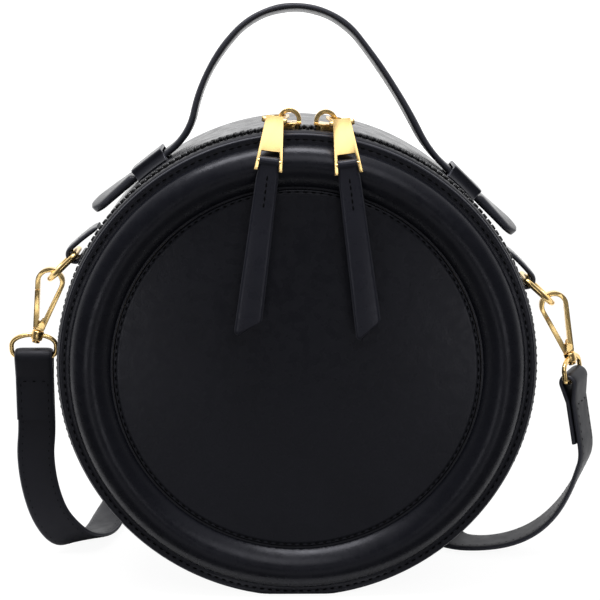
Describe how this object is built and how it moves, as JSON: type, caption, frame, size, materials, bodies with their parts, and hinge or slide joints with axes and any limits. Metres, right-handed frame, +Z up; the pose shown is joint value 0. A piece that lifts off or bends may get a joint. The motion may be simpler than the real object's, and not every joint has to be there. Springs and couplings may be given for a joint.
{
  "type": "circle bag",
  "caption": "Round hard-sided handbag with a padded ring round each flat face, a top handle, a zip closed by facing sliders, and a clip-on shoulder strap.",
  "frame": {"origin": "on the table under the middle of the bag, in the middle of the flat base", "axes": "+Z up, the zip side and the pulls face -Y, +X to the right as seen from the front"},
  "size_m": [0.2511, 0.1446, 0.2375],
  "materials": {
    "leather": "satin",
    "gold": "polished",
    "steel": "satin",
    "teeth": "satin",
    "tape": "matte",
    "foam": "matte",
    "board": "matte",
    "lining": "matte"
  },
  "bodies": {
    "bag": {"front_board": "board", "front_inlay": "leather", "front_lining": "lining", "front_panel": "leather", "front_ring_foam": "foam", "gusset": "leather", "gusset_lining": "lining", "handle_end_left": "leather", "handle_end_right": "leather", "handle_keeper_left": "leather", "handle_keeper_right": "leather", "handle_root_left": "leather", "handle_root_right": "leather", "rear_board": "board", "rear_inlay": "leather", "rear_lining": "lining", "rear_panel": "leather", "rear_ring_foam": "foam", "ring_tab_left": "leather", "ring_tab_right": "leather", "strap_end_left": "leather", "strap_end_right": "leather", "strap_hank": "leather", "strap_left_run": "leather", "strap_right_run": "leather", "strap_tie": "leather", "swivel_loop_left": "gold", "swivel_loop_right": "gold", "zip_end_stops": "teeth", "zip_front_tape": "tape", "zip_front_teeth": "teeth", "zip_rear_tape": "tape", "zip_rear_teeth": "teeth"},
    "slider_left": {"slider_left": "gold", "pull_link_left": "gold", "pull_pin_left": "gold"},
    "pull_left": {"pull_plate_left": "gold", "pull_bar_left": "gold"},
    "tab_left": {"pull_tab_left": "leather"},
    "ring_left": {"d_ring_left": "gold"},
    "clasp_left": {"clasp_hook_left": "gold", "clasp_rivet_left": "gold", "clasp_spring_left": "steel"},
    "gate_left": {"clasp_gate_left": "gold"},
    "slider_right": {"slider_right": "gold", "pull_link_right": "gold", "pull_pin_right": "gold"},
    "pull_right": {"pull_plate_right": "gold", "pull_bar_right": "gold"},
    "tab_right": {"pull_tab_right": "leather"},
    "ring_right": {"d_ring_right": "gold"},
    "clasp_right": {"clasp_hook_right": "gold", "clasp_rivet_right": "gold", "clasp_spring_right": "steel"},
    "gate_right": {"clasp_gate_right": "gold"},
    "handle": {"handle_strap": "leather"}
  },
  "joints": [
    {"name": "slider_left_travel", "type": "hinge", "parent": "bag", "child": "slider_left", "pos_m": [0, 0, 0.0938], "axis": [0, -1, 0], "range_deg": [0, 100], "deforming": ["zip_front_teeth", "zip_rear_teeth"]},
    {"name": "pull_left_lift", "type": "hinge", "parent": "slider_left", "child": "pull_left", "pos_m": [-0.00875, -0.0366, 0.19389], "axis": [-0.9914, 0, 0.1305], "range_deg": [0, 80]},
    {"name": "tab_left_lift", "type": "hinge", "parent": "pull_left", "child": "tab_left", "pos_m": [-0.01071, -0.04473, 0.17899], "axis": [-0.9914, 0, 0.1305], "range_deg": [0, 60]},
    {"name": "ring_left_swing", "type": "hinge", "parent": "bag", "child": "ring_left", "pos_m": [-0.09189, 0.009, 0.13414], "axis": [0, 1, 0], "range_deg": [-3, 3]},
    {"name": "clasp_left_swivel", "type": "hinge", "parent": "bag", "child": "clasp_left", "pos_m": [-0.1095, 0.009, 0.0986], "axis": [0.2588, 0, 0.9659], "range_deg": [-18, 18]},
    {"name": "gate_left_open", "type": "hinge", "parent": "clasp_left", "child": "gate_left", "pos_m": [-0.10729, 0.009, 0.10298], "axis": [0, 1, 0], "range_deg": [0, 22], "stiffness_Nm_per_rad": 0.01, "springref_deg": -11.46},
    {"name": "slider_right_travel", "type": "hinge", "parent": "bag", "child": "slider_right", "pos_m": [0, 0, 0.0938], "axis": [0, 1, 0], "range_deg": [0, 100], "deforming": ["zip_front_teeth", "zip_rear_teeth"]},
    {"name": "pull_right_lift", "type": "hinge", "parent": "slider_right", "child": "pull_right", "pos_m": [0.01728, -0.0366, 0.19277], "axis": [-0.9914, 0, -0.1305], "range_deg": [0, 80]},
    {"name": "tab_right_lift", "type": "hinge", "parent": "pull_right", "child": "tab_right", "pos_m": [0.01924, -0.04473, 0.17787], "axis": [-0.9914, 0, -0.1305], "range_deg": [0, 60]},
    {"name": "ring_right_swing", "type": "hinge", "parent": "bag", "child": "ring_right", "pos_m": [0.09602, 0.009, 0.12297], "axis": [0, 1, 0], "range_deg": [-3, 3]},
    {"name": "clasp_right_swivel", "type": "hinge", "parent": "bag", "child": "clasp_right", "pos_m": [0.1165, 0.009, 0.0885], "axis": [-0.3256, 0, 0.9455], "range_deg": [-18, 18]},
    {"name": "gate_right_open", "type": "hinge", "parent": "clasp_right", "child": "gate_right", "pos_m": [0.11588, 0.009, 0.09336], "axis": [0, 1, 0], "range_deg": [0, 22], "stiffness_Nm_per_rad": 0.01, "springref_deg": -11.46},
    {"name": "handle_swing", "type": "hinge", "parent": "bag", "child": "handle", "pos_m": [-0.0439, 0.009, 0.18676], "axis": [0.9975, 0, -0.071], "range_deg": [-36, 46], "stiffness_Nm_per_rad": 0.05, "deforming": ["handle_root_left", "handle_root_right"]}
  ]
}
